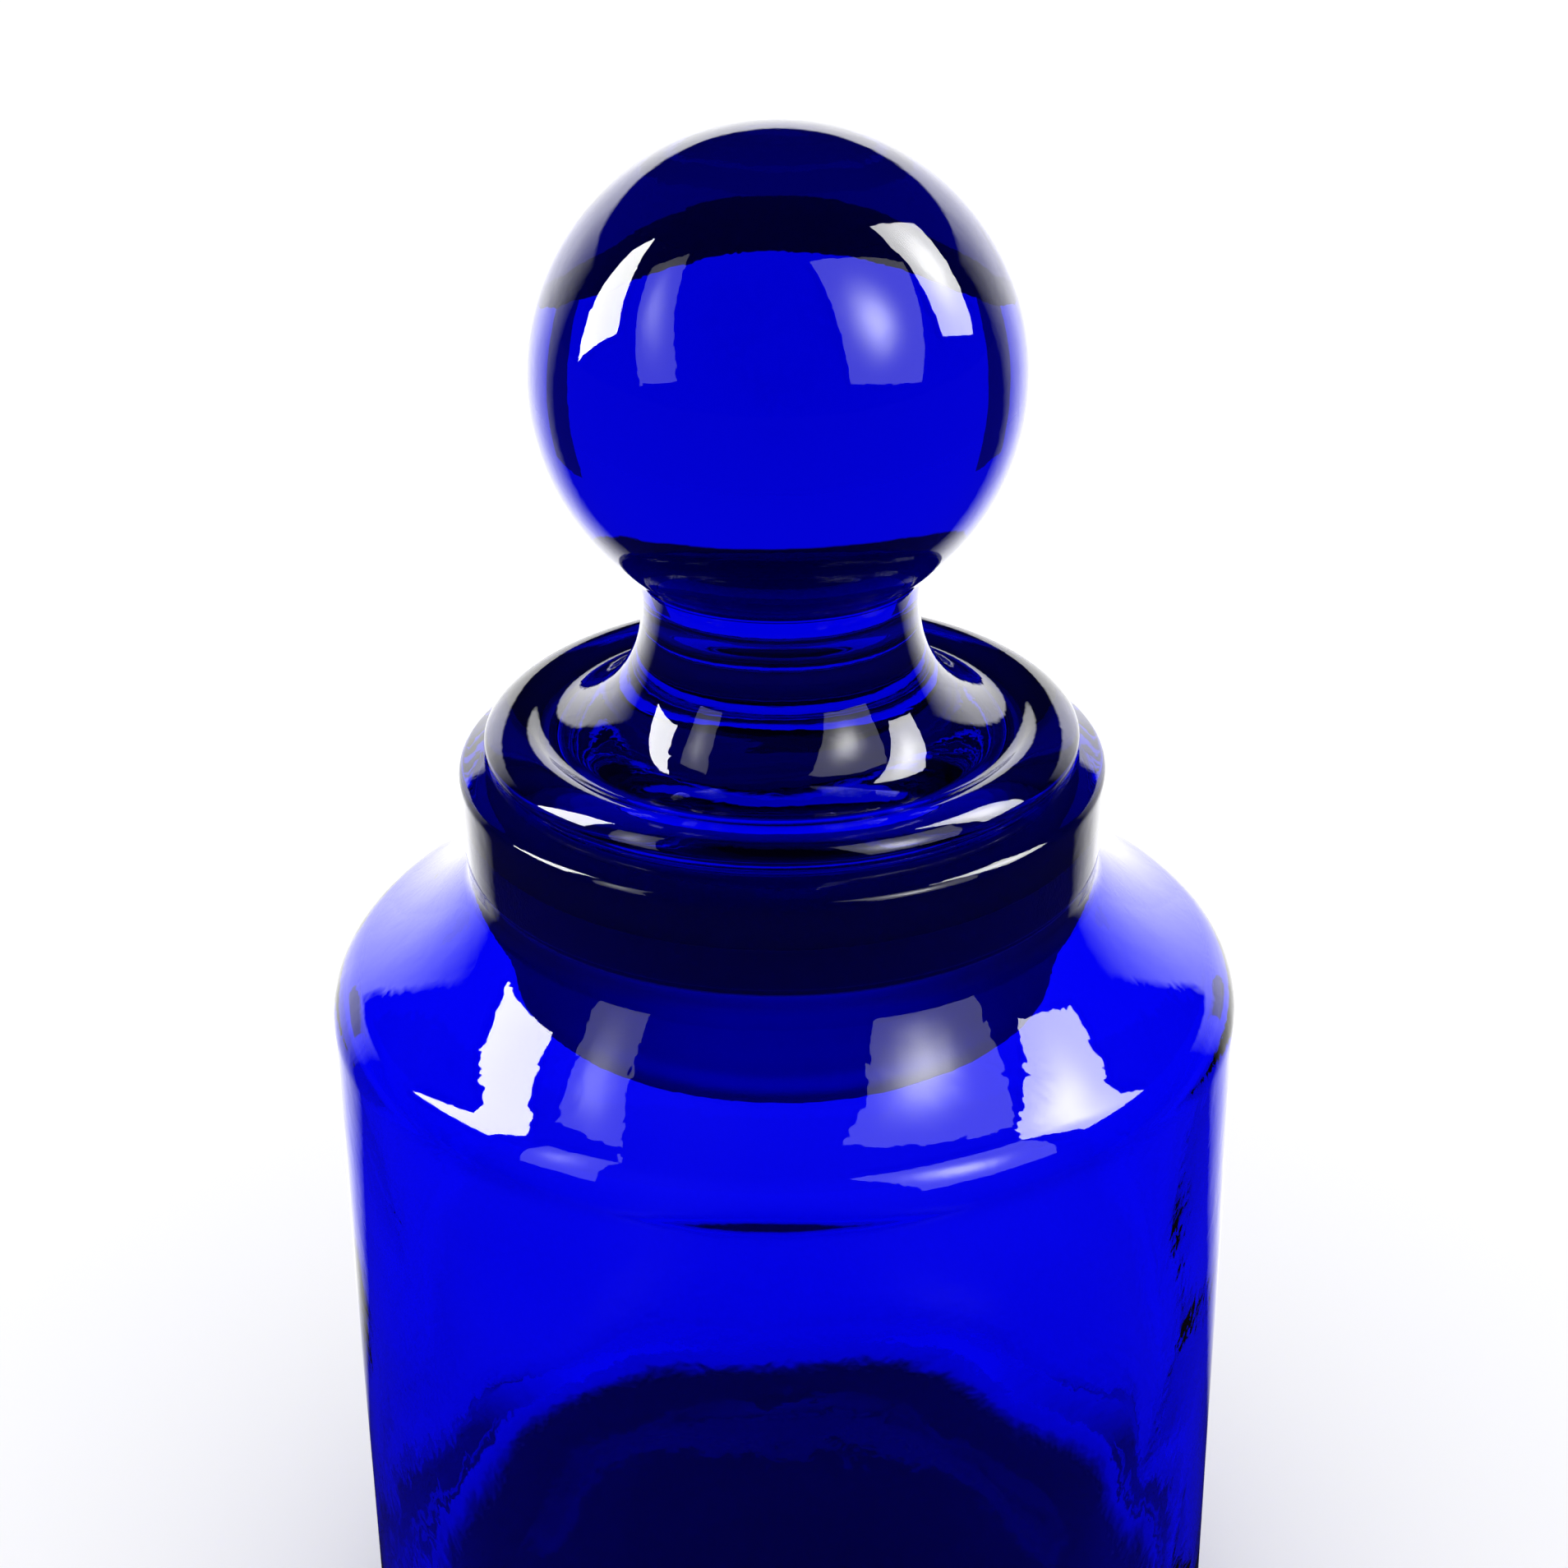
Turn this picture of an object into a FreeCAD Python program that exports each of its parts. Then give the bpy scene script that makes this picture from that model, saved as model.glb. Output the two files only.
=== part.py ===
import FreeCAD, Part
import os
import Sketcher

# A round glass jar with a ball-topped ground stopper.
# The origin is the centre of the surface that the jar stands on, and +Z is up.
# Both pieces are bodies of revolution about Z, drawn as half outlines in the XZ plane.

doc = FreeCAD.newDocument("apothecary_jar")

# ---------------------------------------------------------------- driving dimensions, in mm
sheet = doc.addObject("Spreadsheet::Sheet", "Dims")
driving = [
    # jar, outside
    ("body_radius", 55.0),
    ("body_height", 99.5),           # from the base to where the wall starts to bend inwards
    ("heel_radius", 5.0),
    ("bend_radius", 7.0),            # tight bend between the wall and the shoulder
    ("shoulder_slope", 42.0),        # steepness of the shoulder beside the bend, in degrees
    ("shoulder_top_slope", 33.0),    # steepness beside the neck
    ("flare_radius", 4.0),           # hollow curve between the shoulder and the neck
    ("neck_radius", 37.5),
    ("jar_height", 131.2),
    ("collar_height", 12.1),
    ("collar_radius", 38.2),
    ("collar_draft", 0.25),          # how much narrower the collar is at its lower edge
    ("collar_top_radius", 34.8),     # flat part of the collar's top
    ("collar_top_drop", 1.6),        # fall of the collar's top towards its outer edge
    ("collar_edge_radius", 1.6),
    # jar, inside
    ("wall_thickness", 3.0),
    ("base_thickness", 9.0),
    ("inner_heel_radius", 10.0),
    ("push_up_radius", 38.0),        # shallow hollow under the base
    ("push_up_depth", 2.0),
    ("bore_radius", 32.9),           # ground mouth, at its top
    ("taper_angle", 1.0),            # of the ground mouth and plug, in degrees
    ("mouth_edge_radius", 0.6),
    ("bore_edge_radius", 1.5),
    # stopper
    ("ground_gap", 0.1),             # between the ground plug and the ground mouth
    ("seat_gap", 0.1),               # between the stopper's rim and the collar
    ("plug_length", 31.0),
    ("skirt_thickness", 4.0),
    ("skirt_edge_radius", 1.2),
    ("plate_thickness", 6.0),        # solid glass between the dish and the hollow of the plug
    ("hollow_corner_radius", 6.0),
    ("rim_radius", 1.8),             # of the rim's round section
    ("rim_centre_radius", 33.3),
    ("rim_inner_angle", 50.0),       # how far the rim's curve runs down inside, in degrees
    ("dish_slope", 48.0),
    ("dish_blend_radius", 1.5),
    ("waist_radius", 16.05),
    ("waist_height", 17.8),          # of the narrowest place, above the collar's top
    ("foot_radius", 15.5),           # hollow curve from the waist out into the dish
    ("ball_radius", 28.1),
    ("ball_height", 45.15),          # of the ball's centre, above the collar's top
]
for row, (alias, value) in enumerate(driving, start=1):
    sheet.set("A%d" % row, alias)
    sheet.set("B%d" % row, str(value))
    sheet.setAlias("B%d" % row, alias)
doc.recompute()


# ---------------------------------------------------------------- helpers
def cell(expression):
    """The expression with each driving dimension's name turned into a reference to its cell."""
    for alias, _ in sorted(driving, key=lambda pair: -len(pair[0])):
        expression = expression.replace("<%s>" % alias, "Dims.%s" % alias)
    return expression


def number(expression):
    """The value that the sheet gives an expression now, to place a sketch's points near their ends."""
    return float(sheet.evalExpression(cell(expression)))


def plane(body, role):
    for feature in body.Origin.OriginFeatures:
        if feature.Role == role:
            return feature
    raise ValueError("the body has no " + role)


def arc_through(start, end, radius, left):
    """The short arc from start to end, bulging to the left or right of the straight way."""
    chord = end - start
    middle = (start + end) * 0.5
    sagitta = radius - max(radius ** 2 - (chord.Length * 0.5) ** 2, 0.0) ** 0.5
    side = FreeCAD.Vector(-chord.y, chord.x, 0).normalize()
    top = middle + side * (sagitta if left else -sagitta)
    return Part.Arc(start, top, end)


def half_outline(body, name, corners):
    """A closed half outline in the XZ plane. Each corner is (radius, height, link to the next corner).
    A link is None for a straight line, or (radius, "left" or "right") for an arc on that side."""
    sketch = body.newObject("Sketcher::SketchObject", name)
    sketch.AttachmentSupport = [(plane(body, "XZ_Plane"), "")]
    sketch.MapMode = "FlatFace"
    points = [FreeCAD.Vector(number(x), number(z), 0) for x, z, _ in corners]
    count = len(corners)
    for index, (_, _, link) in enumerate(corners):
        start = points[index]
        end = points[(index + 1) % count]
        if link is None:
            sketch.addGeometry(Part.LineSegment(start, end), False)
        else:
            sketch.addGeometry(arc_through(start, end, number(link[0]), link[1] == "left"), False)

    # an arc's own start is its clockwise end, so the vertex that begins each piece is looked up
    def vertex(index, point):
        ends = {which: sketch.getPoint(index, which) for which in (1, 2)}
        return min(ends, key=lambda which: (ends[which] - point).Length)

    for index, (x, z, link) in enumerate(corners):
        following = (index + 1) % count
        joint = points[following]
        sketch.addConstraint(Sketcher.Constraint("Coincident", index, vertex(index, joint),
                                                 following, vertex(following, joint)))
        corner = vertex(index, points[index])
        for direction, expression in (("DistanceX", x), ("DistanceY", z)):
            value = number(expression)
            which = sketch.addConstraint(
                Sketcher.Constraint(direction, -1, 1, index, corner, value))
            sketch.setExpression("Constraints[%d]" % which, cell(expression))
        if link is not None:
            which = sketch.addConstraint(Sketcher.Constraint("Radius", index, number(link[0])))
            sketch.setExpression("Constraints[%d]" % which, cell(link[0]))
    return sketch


def turned(body, kind, name, sketch):
    """A full turn of a sketch about the Z axis: PartDesign::Revolution adds, PartDesign::Groove cuts."""
    feature = body.newObject(kind, name)
    feature.Profile = sketch
    feature.ReferenceAxis = (sketch, ["V_Axis"])
    feature.Angle = 360.0
    doc.recompute()
    return feature


def round_edges(body, name, places, alias):
    """A fillet on the circular edges at each (radius, height), with its radius from the sheet."""
    base = body.Tip
    wanted = [(number(radius), number(height)) for radius, height in places]
    names = []
    for index, edge in enumerate(base.Shape.Edges, start=1):
        if edge.Degenerated or not isinstance(edge.Curve, Part.Circle):
            continue
        circle = edge.Curve
        for radius, height in wanted:
            if abs(circle.Radius - radius) < 0.02 and abs(circle.Center.z - height) < 0.02:
                names.append("Edge%d" % index)
    if len(names) != len(places):
        raise ValueError("%s found %d of %d edges" % (name, len(names), len(places)))
    fillet = body.newObject("PartDesign::Fillet", name)
    fillet.Base = (base, names)
    fillet.setExpression("Radius", "Dims." + alias)
    doc.recompute()
    return fillet


# ---------------------------------------------------------------- jar
# The shoulder's outline is tangent all the way: wall, bend, shoulder arc, flare, neck.
BEND_END_R = "(<body_radius> - <bend_radius> * (1 - sin(<shoulder_slope>)))"
BEND_END_Z = "(<body_height> + <bend_radius> * cos(<shoulder_slope>))"
FLARE_R = "(<neck_radius> + <flare_radius> * (1 - sin(<shoulder_top_slope>)))"
SHOULDER_RADIUS = ("((%s - %s) / (sin(<shoulder_slope>) - sin(<shoulder_top_slope>)))"
                   % (BEND_END_R, FLARE_R))
FLARE_Z = ("(%s + %s * (cos(<shoulder_top_slope>) - cos(<shoulder_slope>)))"
           % (BEND_END_Z, SHOULDER_RADIUS))
NECK_Z = "(%s + <flare_radius> * cos(<shoulder_top_slope>))" % FLARE_Z
COLLAR_LOW_Z = "(<jar_height> - <collar_height>)"

# The inside of the shoulder follows the outside at the wall's thickness, up to the ground bore.
INNER_R = "(<body_radius> - <wall_thickness>)"
INNER_BEND = "(<bend_radius> - <wall_thickness>)"
INNER_BEND_END_R = "(%s - %s * (1 - sin(<shoulder_slope>)))" % (INNER_R, INNER_BEND)
INNER_BEND_END_Z = "(<body_height> + %s * cos(<shoulder_slope>))" % INNER_BEND
INNER_TOP_R = "(%s - <wall_thickness> * sin(<shoulder_top_slope>))" % FLARE_R
INNER_TOP_Z = "(%s - <wall_thickness> * cos(<shoulder_top_slope>))" % FLARE_Z
BORE_DEPTH = ("((<jar_height> - %s - (%s - <bore_radius>) * tan(<shoulder_top_slope>))"
              " / (1 - tan(<taper_angle>) * tan(<shoulder_top_slope>)))"
              % (INNER_TOP_Z, INNER_TOP_R))
BORE_LOW_R = "(<bore_radius> - %s * tan(<taper_angle>))" % BORE_DEPTH
BORE_LOW_Z = "(<jar_height> - %s)" % BORE_DEPTH

jar = doc.addObject("PartDesign::Body", "jar_body")
jar.Label = "jar_body"

outside = half_outline(jar, "jar_outside", [
    ("0", "0", None),
    ("<body_radius> - <heel_radius>", "0", ("<heel_radius>", "right")),
    ("<body_radius>", "<heel_radius>", None),
    ("<body_radius>", "<body_height>", ("<bend_radius>", "right")),
    (BEND_END_R, BEND_END_Z, (SHOULDER_RADIUS, "right")),
    (FLARE_R, FLARE_Z, ("<flare_radius>", "left")),
    ("<neck_radius>", NECK_Z, None),
    ("<neck_radius>", COLLAR_LOW_Z, None),
    ("<collar_radius> - <collar_draft>", COLLAR_LOW_Z, None),
    ("<collar_radius>", "<jar_height> - <collar_top_drop>", None),
    ("<collar_top_radius>", "<jar_height>", None),
    ("0", "<jar_height>", None),
])
turned(jar, "PartDesign::Revolution", "jar_blank", outside)
blank_volume = jar.Tip.Shape.Volume

inside = half_outline(jar, "jar_inside", [
    ("0", "<base_thickness>", None),
    ("%s - <inner_heel_radius>" % INNER_R, "<base_thickness>", ("<inner_heel_radius>", "right")),
    (INNER_R, "<base_thickness> + <inner_heel_radius>", None),
    (INNER_R, "<body_height>", (INNER_BEND, "right")),
    (INNER_BEND_END_R, INNER_BEND_END_Z, ("%s - <wall_thickness>" % SHOULDER_RADIUS, "right")),
    (INNER_TOP_R, INNER_TOP_Z, None),
    (BORE_LOW_R, BORE_LOW_Z, None),
    ("<bore_radius>", "<jar_height>", None),
    ("0", "<jar_height>", None),
])
turned(jar, "PartDesign::Groove", "jar_hollow", inside)
hollow_volume = jar.Tip.Shape.Volume

under = half_outline(jar, "push_up_outline", [
    ("0", "0", None),
    ("<push_up_radius>", "0",
     ("(<push_up_radius>^2 + <push_up_depth>^2) / (2 * <push_up_depth>)", "right")),
    ("0", "<push_up_depth>", None),
])
turned(jar, "PartDesign::Groove", "push_up", under)
push_up_volume = jar.Tip.Shape.Volume

round_edges(jar, "collar_edge", [("<collar_radius>", "<jar_height> - <collar_top_drop>")],
            "collar_edge_radius")
round_edges(jar, "mouth_edge", [("<bore_radius>", "<jar_height>")], "mouth_edge_radius")
round_edges(jar, "bore_edge", [(BORE_LOW_R, BORE_LOW_Z)], "bore_edge_radius")

# ---------------------------------------------------------------- stopper
SEAT_Z = "(<jar_height> + <seat_gap>)"
PLUG_LOW_Z = "(%s - <plug_length>)" % SEAT_Z
PLUG_TOP_R = "(<bore_radius> - <ground_gap>)"
PLUG_LOW_R = "(%s - <plug_length> * tan(<taper_angle>))" % PLUG_TOP_R
RIM_Z = "(%s + <rim_radius>)" % SEAT_Z
RIM_INNER_R = "(<rim_centre_radius> - <rim_radius> * sin(<rim_inner_angle>))"
RIM_INNER_Z = "(%s + <rim_radius> * cos(<rim_inner_angle>))" % RIM_Z
WAIST_Z = "(<jar_height> + <waist_height>)"
BALL_Z = "(<jar_height> + <ball_height>)"
FOOT_LOW_Z = "(%s - <foot_radius>)" % WAIST_Z
DISH_R = "(%s - (%s - %s) / tan(<dish_slope>))" % (RIM_INNER_R, RIM_INNER_Z, FOOT_LOW_Z)
FOOT_CENTRE_R = "(<waist_radius> + <foot_radius>)"
DISH_Z = "(%s - sqrt(<foot_radius>^2 - (%s - %s)^2))" % (WAIST_Z, FOOT_CENTRE_R, DISH_R)
STEM_TOP_Z = "(%s - 0.7 * <ball_radius>)" % BALL_Z
STEM_TOP_R = "(%s - sqrt(<foot_radius>^2 - (%s - %s)^2))" % (FOOT_CENTRE_R, STEM_TOP_Z, WAIST_Z)

stopper = doc.addObject("PartDesign::Body", "ball_stopper")
stopper.Label = "ball_stopper"

foot = half_outline(stopper, "stopper_outline", [
    ("0", PLUG_LOW_Z, None),
    (PLUG_LOW_R, PLUG_LOW_Z, None),
    (PLUG_TOP_R, SEAT_Z, None),
    ("<rim_centre_radius>", SEAT_Z, ("<rim_radius>", "right")),
    ("<rim_centre_radius> + <rim_radius>", RIM_Z, ("<rim_radius>", "right")),
    ("<rim_centre_radius>", "%s + <rim_radius>" % RIM_Z, ("<rim_radius>", "right")),
    (RIM_INNER_R, RIM_INNER_Z, None),
    (DISH_R, DISH_Z, ("<foot_radius>", "left")),
    (STEM_TOP_R, STEM_TOP_Z, None),
    ("0", STEM_TOP_Z, None),
])
turned(stopper, "PartDesign::Revolution", "foot_and_plug", foot)

ball = stopper.newObject("PartDesign::AdditiveSphere", "ball")
ball.AttachmentSupport = [(plane(stopper, "XY_Plane"), "")]
ball.MapMode = "FlatFace"
ball.setExpression("Radius", "Dims.ball_radius")
ball.setExpression("AttachmentOffset.Base.z", cell(BALL_Z))
doc.recompute()
with_ball_volume = stopper.Tip.Shape.Volume

skirt = half_outline(stopper, "skirt_inside", [
    ("0", PLUG_LOW_Z, None),
    ("%s - <skirt_thickness>" % PLUG_LOW_R, PLUG_LOW_Z, None),
    ("%s - <skirt_thickness>" % PLUG_TOP_R, "%s - <plate_thickness>" % FOOT_LOW_Z, None),
    ("0", "%s - <plate_thickness>" % FOOT_LOW_Z, None),
])
turned(stopper, "PartDesign::Groove", "skirt_hollow", skirt)
skirt_volume = stopper.Tip.Shape.Volume

round_edges(stopper, "hollow_corner",
            [("%s - <skirt_thickness>" % PLUG_TOP_R, "%s - <plate_thickness>" % FOOT_LOW_Z)],
            "hollow_corner_radius")
round_edges(stopper, "skirt_edges",
            [(PLUG_LOW_R, PLUG_LOW_Z), ("%s - <skirt_thickness>" % PLUG_LOW_R, PLUG_LOW_Z)],
            "skirt_edge_radius")
round_edges(stopper, "dish_blend", [(DISH_R, DISH_Z)], "dish_blend_radius")

# ---------------------------------------------------------------- checks
doc.recompute()
for item in doc.Objects:
    if "Invalid" in item.State or "Error" in item.State:
        raise RuntimeError("%s is in state %s" % (item.Name, item.State))
pieces = [jar, stopper]
for piece in pieces:
    shape = piece.Shape
    if shape.isNull() or not shape.isValid() or len(shape.Solids) != 1:
        raise RuntimeError(piece.Label + " is not one valid solid")
if not blank_volume > hollow_volume > push_up_volume:
    raise RuntimeError("a groove in the jar cut nothing")
if not with_ball_volume > skirt_volume:
    raise RuntimeError("the groove in the stopper cut nothing")

# ---------------------------------------------------------------- files
os.makedirs("parts", exist_ok=True)
for piece in pieces:
    piece.Shape.exportStep("parts/%s.step" % piece.Label)
    box = piece.Shape.optimalBoundingBox()
    print("%-14s %6.1f x %6.1f x %6.1f mm, z %6.1f to %6.1f, %7.0f mm3"
          % (piece.Label, box.XLength, box.YLength, box.ZLength, box.ZMin, box.ZMax,
             piece.Shape.Volume))
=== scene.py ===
# %% [markdown]
# # A cobalt glass apothecary jar with a ball stopper
# The real jar is two pieces of blue glass: a blown jar with a ground mouth, and a pressed stopper
# whose hollow ground plug drops into it. Almost everything that the eye reads on it is bent or
# mirrored light, so this lesson is about three things: a clean turned outline, glass that darkens
# with depth, and a small studio for the glass to show.

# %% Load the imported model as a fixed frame
import math

import bmesh
import bpy
from mathutils import Matrix, Vector, noise


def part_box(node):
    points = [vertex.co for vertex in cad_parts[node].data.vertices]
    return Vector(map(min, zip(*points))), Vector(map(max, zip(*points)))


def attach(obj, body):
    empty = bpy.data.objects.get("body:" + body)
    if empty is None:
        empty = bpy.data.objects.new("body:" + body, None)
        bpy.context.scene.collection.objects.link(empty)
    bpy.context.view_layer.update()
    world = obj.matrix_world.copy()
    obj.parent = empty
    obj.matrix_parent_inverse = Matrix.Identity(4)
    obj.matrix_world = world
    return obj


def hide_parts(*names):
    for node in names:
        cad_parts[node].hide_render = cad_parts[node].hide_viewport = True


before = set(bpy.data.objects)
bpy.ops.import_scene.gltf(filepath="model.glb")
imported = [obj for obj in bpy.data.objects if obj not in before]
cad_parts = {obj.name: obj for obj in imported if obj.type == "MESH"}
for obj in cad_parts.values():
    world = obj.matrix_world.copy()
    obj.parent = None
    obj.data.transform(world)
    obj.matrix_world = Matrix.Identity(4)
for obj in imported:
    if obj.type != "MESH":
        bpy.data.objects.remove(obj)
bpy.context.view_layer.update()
jar_low, jar_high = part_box("jar_body")
stopper_low, stopper_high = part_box("ball_stopper")
print("jar", [round(v * 1000, 1) for v in jar_high - jar_low], "mm")
print("stopper", [round(v * 1000, 1) for v in stopper_high - stopper_low], "mm")

# %% [markdown]
# ## Sizes
# Blender works in metres here, so every size is written in millimetres and multiplied by MM.
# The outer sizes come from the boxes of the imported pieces. The rest are the few numbers that a
# glass maker would put on the drawing, and all other points are worked out from them.

# %% Sizes of the jar
MM = 0.001
BODY_R = jar_high.x
JAR_TOP = jar_high.z
WALL_TOP = 98.2 * MM              # where the wall starts to bend inwards
HEEL = 5 * MM
BEND = 6.5 * MM
SHOULDER_LOW = math.radians(27)   # slope of the shoulder beside the bend
SHOULDER_HIGH = math.radians(51)  # slope beside the neck
FLARE = 4 * MM                    # hollow curve into the neck
NECK_R = 37.5 * MM
COLLAR_R = 38.2 * MM
COLLAR_LOW_R = COLLAR_R - 0.25 * MM
COLLAR_TOP_R = 34.8 * MM
COLLAR_LOW = JAR_TOP - 12.1 * MM
COLLAR_EDGE = JAR_TOP - 1.6 * MM
WALL = 3 * MM
FLOOR = 9 * MM
INNER_HEEL = 10 * MM
PUSH_UP_R = 38 * MM
PUSH_UP = 2 * MM
BORE_R = 32.9 * MM
TAPER = math.tan(math.radians(1))
SEGMENTS = 240                    # sides of every ring that is turned
print("the wall is %.0f mm thick and %.1f mm high" % (WALL / MM, WALL_TOP / MM))

# %% Sizes of the stopper
GAP = 0.1 * MM                    # between the stopper and the jar
SEAT = JAR_TOP + GAP
PLUG_LOW = stopper_low.z
PLUG_TOP_R = BORE_R - GAP
PLUG_LOW_R = PLUG_TOP_R - (SEAT - PLUG_LOW) * TAPER
SKIRT = 4 * MM
PLATE = 6 * MM                    # solid glass between the waist and the hollow of the plug
RIM = 1.8 * MM                    # round at the lower, outer edge of the rim
RIM_CENTRE_R = stopper_high.x - RIM
RIM_CURVE = 5 * MM                # round over the crest of the rim
CREST_R = 31 * MM
CREST = SEAT + 4.1 * MM
RIM_IN = 2.4 * MM                 # how far the crest's round runs inwards
RIM_FALL = 0.7 * MM               # how far it falls on the way
DISH = math.radians(48)
WAIST_R = 16.05 * MM
WAIST = JAR_TOP + 17.8 * MM
FOOT = 15.5 * MM                  # hollow curve from the waist out into the dish
BALL_R = 28.1 * MM
BALL = stopper_high.z - BALL_R
CEILING = WAIST - FOOT - PLATE
print("the ball is %.1f mm across, its centre %.1f mm up" % (2000 * BALL_R, 1000 * BALL))

# %% [markdown]
# ## Drawing an outline
# A turned piece is one outline spun about its axis. An outline here is a list of corners, each with
# the kind of line that leaves it: a straight one, or an arc of a given radius that bulges to one
# side. Each corner also says how soft the glass is there, how much the surface wanders, and whether
# the line that leaves it has been ground. Real glass has no sharp edge, so corners are softened with
# a short curve.


# %% Helpers that draw an outline
ARC_STEP = math.radians(6)        # the coarsest step along an arc
LEAST_STEPS = 4
SOFT_STEPS = 6                    # steps of the curve that softens a corner
SOFT_CLEARANCE = 1.1              # points nearer than the reach times this are dropped


def corner(r, z, arc=None, soft=0.0, wave=0.0, ground=0.0):
    """A corner at radius r and height z. arc is (radius, side), and side is 1 or -1."""
    return {"at": Vector((r, z)), "arc": arc, "soft": soft, "wave": wave, "ground": ground}


def along(start, end, arc, step):
    """The points after start on the way to end."""
    chord = end - start
    if arc is None:
        count = max(1, math.ceil(chord.length / step))
        return [start + chord * (i / count) for i in range(1, count + 1)]
    radius, bulge = arc
    side = Vector((-chord.y, chord.x)).normalized() * bulge
    centre = (start + end) / 2 - side * math.sqrt(max(radius ** 2 - (chord.length / 2) ** 2, 0))
    first = math.atan2(*reversed(start - centre))
    turn = (math.atan2(*reversed(end - centre)) - first + math.pi) % (2 * math.pi) - math.pi
    count = max(LEAST_STEPS, math.ceil(abs(turn) * radius / step), math.ceil(abs(turn) / ARC_STEP))
    angles = [first + turn * i / count for i in range(1, count + 1)]
    return [centre + Vector((math.cos(a), math.sin(a))) * radius for a in angles]


def outline(corners, step=1.5 * MM):
    """Points (place, wave, ground) along the corners, with each soft corner rounded."""
    path = [(corners[0]["at"], corners[0]["wave"], corners[0]["ground"])]
    for here, following in zip(corners, corners[1:]):
        points = along(here["at"], following["at"], here["arc"], step)
        for i, place in enumerate(points, start=1):
            wave = here["wave"] + (following["wave"] - here["wave"]) * i / len(points)
            path.append((place, wave, here["ground"]))
    for bend in corners:
        if bend["soft"]:
            path = softened(path, bend["at"], bend["soft"])
    return path


def softened(path, place, reach):
    """The path with the corner at place replaced by a curve that starts and ends at that reach."""
    middle = min(range(len(path)), key=lambda i: (path[i][0] - place).length)
    clear = reach * SOFT_CLEARANCE
    before = [p for p in path[:middle] if (p[0] - place).length > clear]
    after = [p for p in path[middle + 1:] if (p[0] - place).length > clear]
    start = place + (before[-1][0] - place).normalized() * reach
    end = place + (after[0][0] - place).normalized() * reach
    curve = []
    for i in range(SOFT_STEPS + 1):
        t = i / SOFT_STEPS
        point = start * (1 - t) ** 2 + place * 2 * t * (1 - t) + end * t ** 2
        source = before[-1] if t < 0.5 else after[0]
        curve.append((point, source[1], source[2]))
    return before + curve + after


print("an arc is drawn in steps of", round(math.degrees(ARC_STEP)), "degrees or less")


# %% [markdown]
# ## Turning the outline
# Blender's Screw modifier could spin the outline, but then every ring would be a perfect circle.
# Blown glass never is. Building the rings in a loop lets each point wander a little along the
# surface's normal, by a smooth noise that is read at the point's own place in space.


# %% A lathe that lets the glass wander
AXIS_WIDTH = 0.01 * MM            # a point nearer the axis than this is on it


def turned(name, path, wave_size, reshape=None):
    """A closed mesh turned from a path. wave_size is the width of the waves on its surface."""
    mesh = bmesh.new()
    ground = mesh.verts.layers.float.new("ground")
    rings = []
    for i, (place, wave, rough) in enumerate(path):
        tangent = path[min(i + 1, len(path) - 1)][0] - path[max(i - 1, 0)][0]
        normal = Vector((tangent.y, -tangent.x)).normalized()
        on_axis = place.x < AXIS_WIDTH
        ring = []
        for k in range(1 if on_axis else SEGMENTS):
            angle = 2 * math.pi * k / SEGMENTS
            way = Vector((math.cos(angle), math.sin(angle), 0))
            r, z = reshape(place.x, place.y, angle) if reshape else (place.x, place.y)
            spot = way * r + Vector((0, 0, z))
            lift = 0.0 if on_axis else wave * noise.noise(spot / wave_size)
            vertex = mesh.verts.new(spot + (way * normal.x + Vector((0, 0, normal.y))) * lift)
            vertex[ground] = rough
            ring.append(vertex)
        rings.append(ring)
    for lower, upper in zip(rings, rings[1:]):
        for k in range(SEGMENTS):
            following = (k + 1) % SEGMENTS
            loop = [lower[k % len(lower)], lower[following % len(lower)],
                    upper[following % len(upper)], upper[k % len(upper)]]
            face = mesh.faces.new(list(dict.fromkeys(loop)))
            face.smooth = True
    bmesh.ops.recalc_face_normals(mesh, faces=mesh.faces)
    data = bpy.data.meshes.new(name)
    mesh.to_mesh(data)
    mesh.free()
    piece = bpy.data.objects.new(name, data)
    bpy.context.scene.collection.objects.link(piece)
    print(name, "has", len(data.polygons), "faces")
    return piece


print("the lathe turns rings of", SEGMENTS, "sides")

# %% [markdown]
# ## The jar
# The shoulder is hollow, and runs into the wall and the neck without a crease, so the ends of its
# arc are worked out from the slopes. The inside follows the outside at the wall's thickness, down
# to a thick floor.

# %% The jar's outline
bend_end = Vector((BODY_R - BEND * (1 - math.sin(SHOULDER_LOW)),
                   WALL_TOP + BEND * math.cos(SHOULDER_LOW)))
flare_r = NECK_R + FLARE * (1 - math.sin(SHOULDER_HIGH))
SHOULDER = (bend_end.x - flare_r) / (math.sin(SHOULDER_HIGH) - math.sin(SHOULDER_LOW))
flare = Vector((flare_r,
                bend_end.y + SHOULDER * (math.cos(SHOULDER_LOW) - math.cos(SHOULDER_HIGH))))
neck_low = flare.y + FLARE * math.cos(SHOULDER_HIGH)
inner_bend_end = bend_end - Vector((math.sin(SHOULDER_LOW), math.cos(SHOULDER_LOW))) * WALL
inner_top = flare - Vector((math.sin(SHOULDER_HIGH), math.cos(SHOULDER_HIGH))) * WALL
slope = math.tan(SHOULDER_HIGH)
bore_depth = (JAR_TOP - inner_top.y - (inner_top.x - BORE_R) * slope) / (1 - TAPER * slope)
INNER_R = BODY_R - WALL

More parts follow.
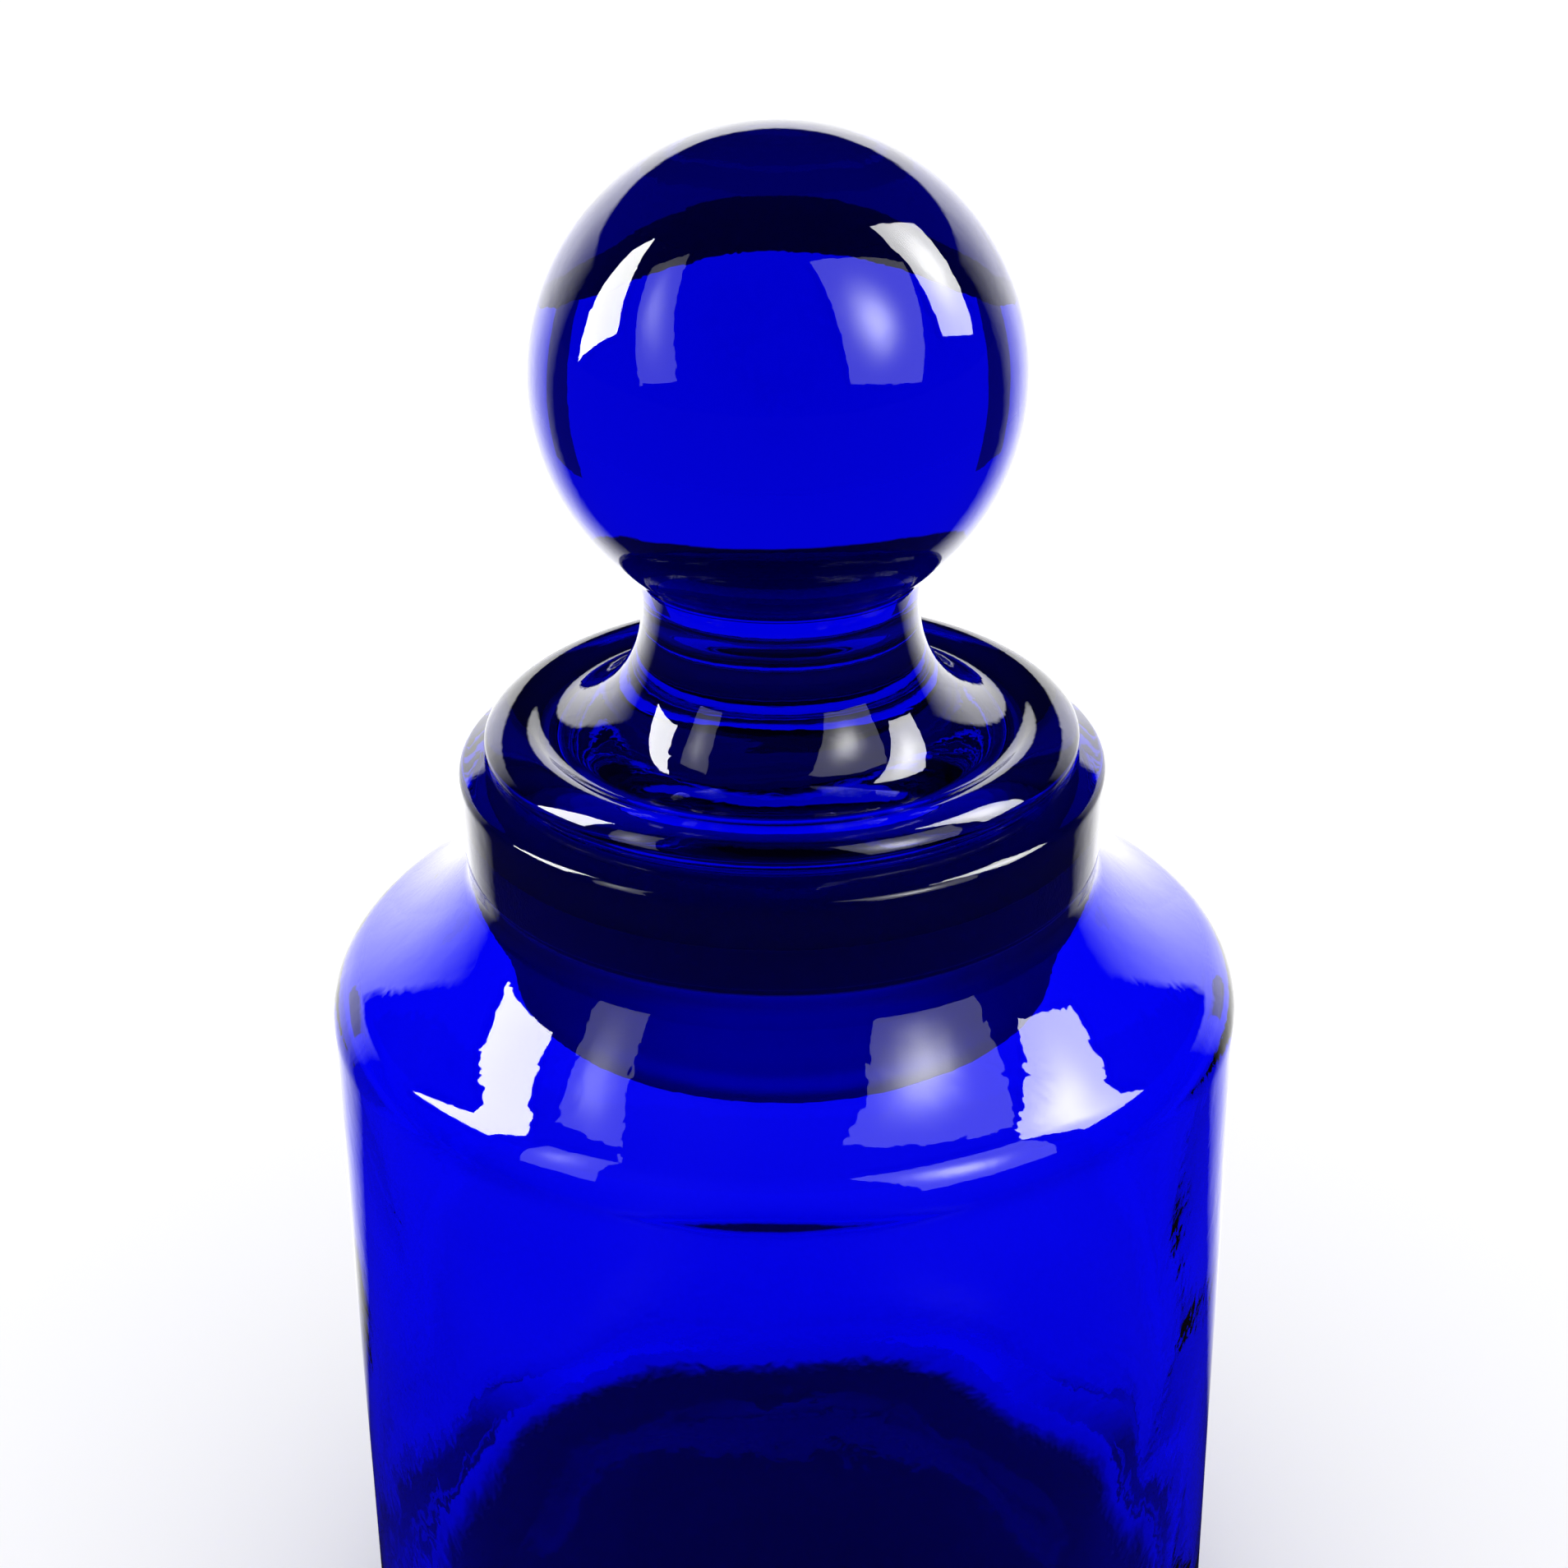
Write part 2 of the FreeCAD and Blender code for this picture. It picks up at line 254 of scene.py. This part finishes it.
OUTER_WAVE = 0.12 * MM            # how far the outside wanders
INNER_WAVE = 0.5 * MM             # the inside was never touched by the mould
jar_corners = [
    corner(0, PUSH_UP, arc=((PUSH_UP_R ** 2 + PUSH_UP ** 2) / (2 * PUSH_UP), 1)),
    corner(PUSH_UP_R, 0, soft=2 * MM),
    corner(BODY_R - HEEL, 0, arc=(HEEL, -1)),
    corner(BODY_R, HEEL, wave=OUTER_WAVE),
    corner(BODY_R, WALL_TOP, arc=(BEND, -1), wave=OUTER_WAVE),
    corner(*bend_end, arc=(SHOULDER, 1), wave=OUTER_WAVE),
    corner(*flare, arc=(FLARE, 1), wave=OUTER_WAVE),
    corner(NECK_R, neck_low),
    corner(NECK_R, COLLAR_LOW, soft=0.3 * MM),
    corner(COLLAR_LOW_R, COLLAR_LOW, soft=0.3 * MM),
    corner(COLLAR_R, COLLAR_EDGE, soft=0.8 * MM),
    corner(COLLAR_TOP_R, JAR_TOP, soft=0.4 * MM),
    corner(BORE_R, JAR_TOP, soft=0.6 * MM, ground=1),
    corner(BORE_R - bore_depth * TAPER, JAR_TOP - bore_depth, soft=1.4 * MM),
    corner(*inner_top, arc=(SHOULDER + WALL, -1), wave=INNER_WAVE / 3),
    corner(*inner_bend_end, arc=(BEND - WALL, 1), wave=INNER_WAVE / 2),
    corner(INNER_R, WALL_TOP, wave=INNER_WAVE),
    corner(INNER_R, FLOOR + INNER_HEEL, arc=(INNER_HEEL, 1), wave=INNER_WAVE),
    corner(INNER_R - INNER_HEEL, FLOOR, wave=INNER_WAVE),
    corner(0, FLOOR, wave=INNER_WAVE),
]


LOBES = 6
LOBE_DEPTH = 2 * MM
LOBE_TOP = 14 * MM                # height above the floor where the lobes have died out
LOBE_SPREAD = 30 * MM             # radius where they reach their full depth
FLOOR_SLACK = 0.5 * MM


def settled(r, z, angle):
    """The inside of the base, where the glass settled into lobes as it cooled."""
    inside = r < INNER_R + WALL / 2 and z > FLOOR - FLOOR_SLACK
    if not inside:
        return r, z
    depth = 1 - min(max((z - FLOOR) / LOBE_TOP, 0), 1)
    lobes = math.cos(LOBES * (angle - math.pi / 2))
    return r - LOBE_DEPTH * lobes * depth * min(r / LOBE_SPREAD, 1), z


jar = turned("jar_glass_body", outline(jar_corners), wave_size=22 * MM, reshape=settled)
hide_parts("jar_body")
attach(jar, "jar")

# %% [markdown]
# ## The stopper
# The ball is solid glass. It meets the waist in a hollow crease that the maker's fire has softened.
# Below the flange the plug is a hollow skirt, ground on its outside to fit the mouth.


# %% The stopper's outline
def meeting(first, first_r, second, second_r):
    """The lower of the two points that two circles share."""
    gap = second - first
    reach = (gap.length_squared + first_r ** 2 - second_r ** 2) / (2 * gap.length)
    foot = first + gap.normalized() * reach
    side = Vector((-gap.y, gap.x)).normalized() * math.sqrt(first_r ** 2 - reach ** 2)
    return min((foot + side, foot - side), key=lambda point: point.y)


seat_mid = SEAT + RIM
rim_inner = Vector((CREST_R - RIM_IN, CREST - RIM_FALL))
dish_r = rim_inner.x - (rim_inner.y - (WAIST - FOOT)) / math.tan(DISH)
foot_centre = Vector((WAIST_R + FOOT, WAIST))
dish = Vector((dish_r, WAIST - math.sqrt(FOOT ** 2 - (foot_centre.x - dish_r) ** 2)))
join = meeting(Vector((0, BALL)), BALL_R, foot_centre, FOOT)
BALL_WAVE = 0.1 * MM

stopper_corners = [
    corner(0, CEILING, wave=INNER_WAVE),
    corner(PLUG_TOP_R - SKIRT, CEILING, soft=6 * MM, wave=INNER_WAVE / 3),
    corner(PLUG_LOW_R - SKIRT, PLUG_LOW, soft=1.2 * MM),
    corner(PLUG_LOW_R, PLUG_LOW, soft=1.2 * MM, ground=1),
    corner(PLUG_TOP_R, SEAT),
    corner(RIM_CENTRE_R, SEAT, arc=(RIM, -1)),
    corner(RIM_CENTRE_R + RIM, seat_mid, arc=(RIM_CURVE, -1), soft=0.7 * MM),
    corner(CREST_R, CREST, arc=(RIM_CURVE, -1)),
    corner(*rim_inner, soft=0.8 * MM),
    corner(*dish, arc=(FOOT, 1), soft=1.6 * MM, wave=BALL_WAVE),
    corner(*join, arc=(BALL_R, -1), soft=0.9 * MM, wave=BALL_WAVE),
    corner(0, BALL + BALL_R),
]
stopper = turned("stopper_glass_body", outline(stopper_corners, step=1.2 * MM), wave_size=14 * MM)
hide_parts("ball_stopper")
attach(stopper, "stopper")

# %% [markdown]
# ## The skin of the glass
# Pressed and blown glass has a skin of fine ripples, left by the mould and the fire, and handling
# leaves faint smears on it. Both pieces have that skin, so it is one node group. It puts out a
# height for a Bump node, a roughness, and a tint that holds both the smears and a painted shade.
# Where the "ground" attribute is 1 it adds the dull grain of a ground joint, and paints the joint
# darker to the grey that each material asks for: painted shade for the light that it scatters away.


# %% A node group for the skin
def link(tree, start, end):
    tree.links.new(start, end)


def feed(tree, slot, operand):
    """Gives an input slot a number, or links a socket to it."""
    if isinstance(operand, (int, float)):
        slot.default_value = operand
    else:
        link(tree, operand, slot)


def noise_node(tree, place, scale, detail, distortion=0.0):
    """A Noise Texture read at a place; scale is a number or a socket. Returns its value."""
    node = tree.nodes.new("ShaderNodeTexNoise")
    link(tree, place, node.inputs["Vector"])
    feed(tree, node.inputs["Scale"], scale)
    node.inputs["Detail"].default_value = detail
    node.inputs["Distortion"].default_value = distortion
    return node.outputs[0]


def math_node(tree, operation, *operands):
    """A Math node; each operand is a number or a socket. Returns its output."""
    node = tree.nodes.new("ShaderNodeMath")
    node.operation = operation
    for slot, operand in zip(node.inputs, operands):
        feed(tree, slot, operand)
    return node.outputs[0]


WAVE_SCALE = 60
GRAIN_SCALE = 4000
GRAIN_HEIGHT = 0.02 * MM
SMEAR_SCALE = 45
SMEAR_CONTRAST = 3.0
CLEAN = (1.0, 1.0, 1.0, 1)
SMEARED = (0.9, 0.92, 1.0, 1)


def glass_skin_group():
    tree = bpy.data.node_groups.new("glass_skin", "ShaderNodeTree")
    for name, value in (("Ripple Scale", 300.0), ("Ripple Height", 0.00001), ("Wave Height", 0.00003),
                        ("Smear", 0.02), ("Ground Roughness", 0.5), ("Ground Painted Shade", 0.3)):
        socket = tree.interface.new_socket(name=name, in_out="INPUT", socket_type="NodeSocketFloat")
        socket.default_value = value
    tree.interface.new_socket(name="Ground", in_out="INPUT", socket_type="NodeSocketFloat")
    for name in ("Height", "Roughness"):
        tree.interface.new_socket(name=name, in_out="OUTPUT", socket_type="NodeSocketFloat")
    tree.interface.new_socket(name="Tint", in_out="OUTPUT", socket_type="NodeSocketColor")
    given = tree.nodes.new("NodeGroupInput")
    result = tree.nodes.new("NodeGroupOutput")
    place = tree.nodes.new("ShaderNodeTexCoord").outputs["Object"]

    ripple = noise_node(tree, place, given.outputs["Ripple Scale"], 2.0, 0.4)
    wave = noise_node(tree, place, WAVE_SCALE, 1.0, 0.3)
    grain = noise_node(tree, place, GRAIN_SCALE, 3.0)
    smear = noise_node(tree, place, SMEAR_SCALE, 4.0, 1.5)

    rippled = math_node(tree, "MULTIPLY", ripple, given.outputs["Ripple Height"])
    waved = math_node(tree, "MULTIPLY", wave, given.outputs["Wave Height"])
    polished = math_node(tree, "ADD", rippled, waved)
    grained = math_node(tree, "MULTIPLY", grain, GRAIN_HEIGHT)
    grained = math_node(tree, "MULTIPLY", grained, given.outputs["Ground"])
    link(tree, math_node(tree, "ADD", polished, grained), result.inputs["Height"])

    film = math_node(tree, "POWER", smear, SMEAR_CONTRAST)
    film = math_node(tree, "MULTIPLY", film, given.outputs["Smear"])
    dull = math_node(tree, "MULTIPLY", given.outputs["Ground"], given.outputs["Ground Roughness"])
    link(tree, math_node(tree, "ADD", film, dull), result.inputs["Roughness"])

    tint = tree.nodes.new("ShaderNodeMix")
    tint.data_type = "RGBA"
    tint.inputs["A"].default_value = CLEAN
    tint.inputs["B"].default_value = SMEARED
    link(tree, smear, tint.inputs["Factor"])
    # Painted shade: where the glass is ground, its colour is darkened to the grey that the material
    # gives.
    tint_with_painted_shade = tree.nodes.new("ShaderNodeMix")
    tint_with_painted_shade.data_type = "RGBA"
    link(tree, given.outputs["Ground"], tint_with_painted_shade.inputs["Factor"])
    link(tree, tint.outputs["Result"], tint_with_painted_shade.inputs["A"])
    link(tree, given.outputs["Ground Painted Shade"], tint_with_painted_shade.inputs["B"])
    link(tree, tint_with_painted_shade.outputs["Result"], result.inputs["Tint"])
    return tree


glass_skin = glass_skin_group()
print("glass_skin has", len(glass_skin.nodes), "nodes")

# %% [markdown]
# ## Cobalt glass
# Cobalt glass isn't painted blue: it swallows red and green within a few millimetres, and blue
# only over many centimetres. So the surface is clear, with Transmission at 1, and the colour is in
# a Volume Absorption node. Light dies out at the node's density times what its colour lacks of
# white. At 1000 per metre, red and green fall to about a third in each millimetre, and blue loses
# about a hundredth. Thin walls then come out bright blue and the ball deep blue, as in real glass.


# %% The two glasses
BLUE_PASSED = 0.991               # share of the blue that is left after each millimetre
DENSITY = 1000.0                  # per metre


def cobalt_glass(name, skin_values):
    material = bpy.data.materials.new(name)
    material.use_nodes = True
    tree = material.node_tree
    shader = tree.nodes["Principled BSDF"]
    shader.inputs["Transmission Weight"].default_value = 1.0
    shader.inputs["IOR"].default_value = 1.51
    skin = tree.nodes.new("ShaderNodeGroup")
    skin.node_tree = glass_skin
    for socket, value in skin_values.items():
        skin.inputs[socket].default_value = value
    ground = tree.nodes.new("ShaderNodeAttribute")
    ground.attribute_name = "ground"
    link(tree, ground.outputs["Fac"], skin.inputs["Ground"])
    bump = tree.nodes.new("ShaderNodeBump")
    bump.inputs["Distance"].default_value = 1.0
    link(tree, skin.outputs["Height"], bump.inputs["Height"])
    link(tree, bump.outputs["Normal"], shader.inputs["Normal"])
    link(tree, skin.outputs["Roughness"], shader.inputs["Roughness"])
    link(tree, skin.outputs["Tint"], shader.inputs["Base Color"])
    depth = tree.nodes.new("ShaderNodeVolumeAbsorption")
    depth.inputs["Color"].default_value = (0.0, 0.0, BLUE_PASSED, 1)
    depth.inputs["Density"].default_value = DENSITY
    link(tree, depth.outputs["Volume"], tree.nodes["Material Output"].inputs["Volume"])
    print(name, "is ready")
    return material


# Both glasses paint their ground joints darker as painted shade, darker on the jar's bore than on the
# stopper's plug.
jar.data.materials.append(cobalt_glass("jar_cobalt", {
    "Ripple Scale": 260.0,
    "Ripple Height": 0.00003,
    "Wave Height": 0.0001,
    "Smear": 0.06,
    "Ground Roughness": 0.95,
    "Ground Painted Shade": 0.05,
}))
stopper.data.materials.append(cobalt_glass("stopper_cobalt", {
    "Ripple Scale": 330.0,
    "Ripple Height": 0.00002,
    "Wave Height": 0.00005,
    "Smear": 0.06,
    "Ground Roughness": 0.95,
    "Ground Painted Shade": 0.28,
}))

# %% [markdown]
# ## The floor
# The jar stands on a large sheet of matt white paper. It is plain everywhere but under the jar,
# where a painted shadow makes it dark. Glass needs something dark to mirror as well, or it looks
# washed out, so in mirrored light the paper carries a painted reflection: it glows bright behind
# the jar and is painted dark in front of it. A bent ray counts as both glossy and transmitted and a
# mirrored ray only as glossy, so their difference picks out mirrored light.


# %% A pale floor
HALF = 20.0                       # half the width of the paper
# Painted shadow: the paper is painted dark under the jar, fading out between these radii.
UNDER_JAR_PAINTED_SHADOW = (BODY_R - 6 * MM, BODY_R - 1 * MM)  # the dark part ends between these radii
# "Behind" is a mask: 0 beyond 62 degrees from straight behind, and 1 within 36.
SIDE = (math.cos(math.radians(62)), math.cos(math.radians(36)))
# This dark colour is painted: a shadow under the jar, and a dark reflection in front of it.
PAINTED_SHADOW_AND_REFLECTION = (0.012, 0.01, 0.02, 1)
WHITE_PAPER = (0.9, 0.9, 0.91, 1)


def stage_mesh(name, points, faces):
    """A piece of the studio, which isn't part of the jar."""
    data = bpy.data.meshes.new(name)
    data.from_pydata([tuple(point) for point in points], [], faces)
    piece = bpy.data.objects.new(name, data)
    bpy.context.scene.collection.objects.link(piece)
    return piece


def bare_material(name):
    """A material without its Principled BSDF, ready for other shaders."""
    material = bpy.data.materials.new(name)
    material.use_nodes = True
    nodes = material.node_tree.nodes
    nodes.remove(nodes["Principled BSDF"])
    return material


def edge(tree, value, dark, light):
    """A mask that rises from 0 where value is dark to 1 where it is light."""
    node = tree.nodes.new("ShaderNodeMapRange")
    node.inputs["From Min"].default_value = dark
    node.inputs["From Max"].default_value = light
    link(tree, value, node.inputs["Value"])
    return node.outputs[0]


def paper_nodes(tree):
    """Colours the paper: a painted shadow under the jar, and a painted reflection that is dark where
    glass mirrors its front and bright behind.
    """
    place = tree.nodes.new("ShaderNodeTexCoord").outputs["Object"]
    away = tree.nodes.new("ShaderNodeVectorMath")
    away.operation = "LENGTH"
    link(tree, place, away.inputs[0])
    parts = tree.nodes.new("ShaderNodeSeparateXYZ")
    link(tree, place, parts.inputs[0])
    bearing = math_node(tree, "DIVIDE", parts.outputs["Y"], away.outputs["Value"])
    behind = edge(tree, bearing, *SIDE)
    light = tree.nodes.new("ShaderNodeLightPath")
    glossy = light.outputs["Is Glossy Ray"]
    bent = light.outputs["Is Transmission Ray"]
    mirrored = math_node(tree, "MAXIMUM", math_node(tree, "SUBTRACT", glossy, bent), 0.0)
    # Painted reflection: in mirrored light the paper in front of the jar is painted dark.
    painted_dark_reflection = math_node(tree, "MULTIPLY", mirrored, math_node(tree, "SUBTRACT", 1.0, behind))
    # Painted shadow: the paper is dark under the jar and white beyond it.
    outside_painted_shadow = edge(tree, away.outputs["Value"], *UNDER_JAR_PAINTED_SHADOW)
    lit = math_node(tree, "MULTIPLY", outside_painted_shadow, math_node(tree, "SUBTRACT", 1.0, painted_dark_reflection))
    colour = tree.nodes.new("ShaderNodeMix")
    colour.data_type = "RGBA"
    colour.inputs["A"].default_value = PAINTED_SHADOW_AND_REFLECTION
    colour.inputs["B"].default_value = WHITE_PAPER
    link(tree, lit, colour.inputs["Factor"])
    matt = tree.nodes.new("ShaderNodeBsdfDiffuse")
    link(tree, colour.outputs["Result"], matt.inputs["Color"])
    # Painted reflection: in mirrored light the paper behind the jar glows, though it is no lamp.
    glow = tree.nodes.new("ShaderNodeEmission")
    link(tree, math_node(tree, "MULTIPLY", mirrored, behind), glow.inputs["Strength"])
    both = tree.nodes.new("ShaderNodeAddShader")
    link(tree, matt.outputs[0], both.inputs[0])
    link(tree, glow.outputs[0], both.inputs[1])
    link(tree, both.outputs[0], tree.nodes["Material Output"].inputs["Surface"])


floor = stage_mesh("paper_floor", [(-HALF, -HALF, 0), (HALF, -HALF, 0), (HALF, HALF, 0),
                                   (-HALF, HALF, 0)], [(0, 1, 2, 3)])
paper = bare_material("white_paper")
paper_nodes(paper.node_tree)
floor.data.materials.append(paper)
print("the paper is", 2 * HALF, "m wide")

# %% [markdown]
# ## Dark cards
# Glass gets its dark lines from dark things that it bends into view. Two tall cards stand behind
# the jar, one to each side, and darken its edges. Two rings lie round the stopper's waist and
# darken the ball and the waist. All four are seen only through glass: never straight on, in a
# mirror image or as a shadow.


# %% Cards round the jar
LEVEL = WAIST + 1 * MM            # height of the two rings
RING_SPLIT = 49 * MM              # radius where the dim ring ends and the black one starts
RING_OUTER = 57.5 * MM
EDGE_BEARINGS = (41, 53)          # of a tall card, in degrees from straight behind
EDGE_NEAR = 0.33                  # from the axis to the lower edge of a tall card
EDGE_LOW = 2 * MM
EDGE_HIGH = 2.1                   # of its outer edge, far out on the paper
BEARING_STEPS = 24


def around(name, first, last, inner, outer, low, high):
    """A ring sector between two bearings, in degrees from straight behind, rising outwards."""
    points = []
    for i in range(BEARING_STEPS + 1):
        bearing = math.radians(first + (last - first) * i / BEARING_STEPS)
        way = Vector((math.sin(bearing), math.cos(bearing), 0))
        points.append(way * inner + Vector((0, 0, low)))
        points.append(way * outer + Vector((0, 0, high)))
    faces = [(2 * i, 2 * i + 1, 2 * i + 3, 2 * i + 2) for i in range(BEARING_STEPS)]
    return stage_mesh(name, points, faces)


def card_paper(name, colour):
    material = bpy.data.materials.new(name)
    material.use_nodes = True
    shader = material.node_tree.nodes["Principled BSDF"]
    shader.inputs["Base Color"].default_value = colour
    shader.inputs["Specular IOR Level"].default_value = 0.0
    return material


black = card_paper("black_card", (0.004, 0.004, 0.006, 1))
dim = card_paper("dim_card", (0.13, 0.11, 0.16, 1))
edge_first, edge_last = EDGE_BEARINGS
tall = (EDGE_NEAR, HALF, EDGE_LOW, EDGE_HIGH)
cards = [
    (around("edge_left", -edge_last, -edge_first, *tall), dim),
    (around("edge_right", edge_first, edge_last, *tall), dim),
    (around("card_under_ball", 0, 360, RING_SPLIT, RING_OUTER, LEVEL, LEVEL), black),
    (around("card_round_waist", 0, 360, WAIST_R + 2 * MM, RING_SPLIT, LEVEL, LEVEL), dim),
]
for card, material in cards:
    card.data.materials.append(material)
    card.visible_camera = False
    card.visible_diffuse = False
    card.visible_shadow = False
    card.visible_glossy = False
print(len(cards), "dark cards stand round the jar")

# %% [markdown]
# ## The lights
# Two windows and two lamps give the glass its highlights. Each is a glowing sheet close to the
# ball, and most have a brighter spot. A sheet is given by the directions of its light as the ball
# sees it, and its corners are put where the ball mirrors them to the camera. The sheets are seen
# only in mirrored light. The soft light on the paper comes from the world.


# %% Light panels
CAMERA = Vector((0.0002, -0.32155, 0.28568))
REACH = 0.17                      # from the ball to the panels


def mirrored_from_ball(direction):
    """The place that the ball mirrors to the camera when light comes from that direction."""
    direction = direction.normalized()
    ball = Vector((0, 0, BALL))
    normal = (direction + (CAMERA - ball).normalized()).normalized()
    return ball + normal * BALL_R + direction * REACH


def light_panel(name, centre, across, up, glow, spot=0.0, spot_at=(0.5, 0.5), spot_size=0.3):
    """A glowing sheet. across and up are its edges as the ball sees them, and spot_at is in
    shares of the two."""
    centre, across, up = Vector(centre), Vector(across), Vector(up)
    corners = [centre - across / 2 - up / 2, centre + across / 2 - up / 2,
               centre + across / 2 + up / 2, centre - across / 2 + up / 2]
    panel = stage_mesh(name, [mirrored_from_ball(place) for place in corners], [(0, 1, 2, 3)])
    shares = panel.data.uv_layers.new(name="shares")
    for loop, share in zip(shares.data, ((0, 0), (1, 0), (1, 1), (0, 1))):
        loop.uv = share
    material = bare_material(name + "_glow")
    tree = material.node_tree
    shader = tree.nodes.new("ShaderNodeEmission")
    uv = tree.nodes.new("ShaderNodeTexCoord")
    away = tree.nodes.new("ShaderNodeVectorMath")
    away.operation = "DISTANCE"
    link(tree, uv.outputs["UV"], away.inputs[0])
    away.inputs[1].default_value = (*spot_at, 0)
    near = math_node(tree, "DIVIDE", away.outputs["Value"], spot_size)
    near = math_node(tree, "MULTIPLY", near, near)
    near = math_node(tree, "POWER", math.e, math_node(tree, "MULTIPLY", near, -1.0))
    strength = math_node(tree, "ADD", math_node(tree, "MULTIPLY", near, spot), glow)
    link(tree, strength, shader.inputs["Strength"])
    link(tree, shader.outputs[0], tree.nodes["Material Output"].inputs["Surface"])
    panel.data.materials.append(material)
    panel.visible_camera = False
    panel.visible_diffuse = False
    panel.visible_transmission = False
    panel.visible_shadow = False
    print(name, "glows at", glow)


light_panel("lamp_left", (-0.655, 0.184, 0.483), (0.24, -0.115, 0.058), (-0.68, 0.3, 0.9),
            glow=18.0)
light_panel("window_left", (-0.717, -0.255, 0.481), (0.315, -0.107, 0.065), (-0.06, 0.401, 0.744),
            glow=1.2, spot=3.0, spot_at=(0.5, 0.55), spot_size=0.25)
light_panel("window_right", (0.662, -0.395, 0.465), (0.588, 0.348, -0.109), (-0.314, 0.512, 0.649),
            glow=1.4, spot=10.0, spot_at=(0.4, 0.5), spot_size=0.2)
light_panel("lamp_right", (0.769, 0.18, 0.432), (0.24, 0.332, -0.081), (-0.381, 0.207, 0.504),
            glow=10.0, spot=10.0, spot_at=(0.5, 0.6), spot_size=0.3)

# %% [markdown]
# ## The room
# The world is white for everything that it lights, and for the camera. In mirrored light it is
# white only behind the jar, up to about 20 degrees above the horizon. In bent light it is white up
# to a lower edge, which rises towards the sides and the front. Everything else is dark.


# %% The world
DARK_ROOM = 0.004
WHITE_ROOM = 1.2                  # strength for the camera and for matt surfaces
MIRRORED_WHITE = 2.2
BENT_WHITE = 1.1
MIRRORED_EDGE = (21, 19)          # dark above the first height and white below the second, in degrees
BENT_EDGE = 11.5                  # height of the edge straight behind, in degrees
BENT_SOFT = (0.012, 0.02)         # the edge fades between these depths below it
BENT_LEAN = 0.6                   # how much the edge rises towards the sides


def height_of(degrees):
    """The Z of a direction at that height above the horizon."""
    return math.sin(math.radians(degrees))


def lit(tree, mask, white):
    """A strength that is white where mask is 1, and the dark room's where it is 0."""
    return math_node(tree, "ADD", math_node(tree, "MULTIPLY", mask, white), DARK_ROOM)


def choice(tree, share, chosen, other):
    """The chosen value where share is 1, and the other where it is 0."""
    first = math_node(tree, "MULTIPLY", chosen, share)
    second = math_node(tree, "MULTIPLY", other, math_node(tree, "SUBTRACT", 1.0, share))
    return math_node(tree, "ADD", first, second)


def room_strength(tree):
    """How bright the room is, for each direction and kind of light."""
    direction = tree.nodes.new("ShaderNodeTexCoord").outputs["Generated"]
    parts = tree.nodes.new("ShaderNodeSeparateXYZ")
    link(tree, direction, parts.inputs[0])
    behind = edge(tree, parts.outputs["Y"], *SIDE)
    mirrored_sweep = edge(tree, parts.outputs["Z"], *[height_of(v) for v in MIRRORED_EDGE])
    mirrored = lit(tree, math_node(tree, "MULTIPLY", mirrored_sweep, behind), MIRRORED_WHITE)
    leaning = math_node(tree, "MULTIPLY_ADD", parts.outputs["Y"], BENT_LEAN, parts.outputs["Z"])
    top = height_of(BENT_EDGE) + BENT_LEAN
    bent = lit(tree, edge(tree, leaning, *[top - depth for depth in BENT_SOFT]), BENT_WHITE)
    path = tree.nodes.new("ShaderNodeLightPath")
    in_glass = choice(tree, path.outputs["Is Transmission Ray"], bent, mirrored)
    return choice(tree, path.outputs["Is Glossy Ray"], in_glass, WHITE_ROOM)


world = bpy.data.worlds.new("studio")
bpy.context.scene.world = world
world.use_nodes = True
background = world.node_tree.nodes["Background"]
background.inputs["Color"].default_value = (1, 1, 1, 1)
link(world.node_tree, room_strength(world.node_tree), background.inputs["Strength"])
print("the world has", len(world.node_tree.nodes), "nodes")

# %% [markdown]
# ## The camera
# It looks down on the jar from close by, so that the base falls below the frame. It leans a little
# to one side, as a camera held by hand does. Light has to cross many walls of glass here, so the
# limits on its bounces are high.

# %% Camera and light paths
PITCH = 26.5                      # degrees below the horizon
ROLL = -0.55
camera = bpy.data.objects.new("camera", bpy.data.cameras.new("camera"))
bpy.context.scene.collection.objects.link(camera)
camera.data.lens = 69.35
camera.data.sensor_width = 36.0
camera.data.clip_start = 0.01
camera.data.clip_end = 100.0
tilt = Matrix.Rotation(math.radians(90 - PITCH), 4, "X")
roll = Matrix.Rotation(math.radians(ROLL), 4, "Z")
camera.matrix_world = Matrix.Translation(CAMERA) @ tilt @ roll
bpy.context.scene.camera = camera
scene = bpy.context.scene
scene.view_settings.view_transform = "Standard"
scene.cycles.max_bounces = 32
scene.cycles.transmission_bounces = 32
scene.cycles.glossy_bounces = 16
scene.cycles.sample_clamp_indirect = 4.0
print("the camera is %.0f mm up" % (CAMERA.z / MM))
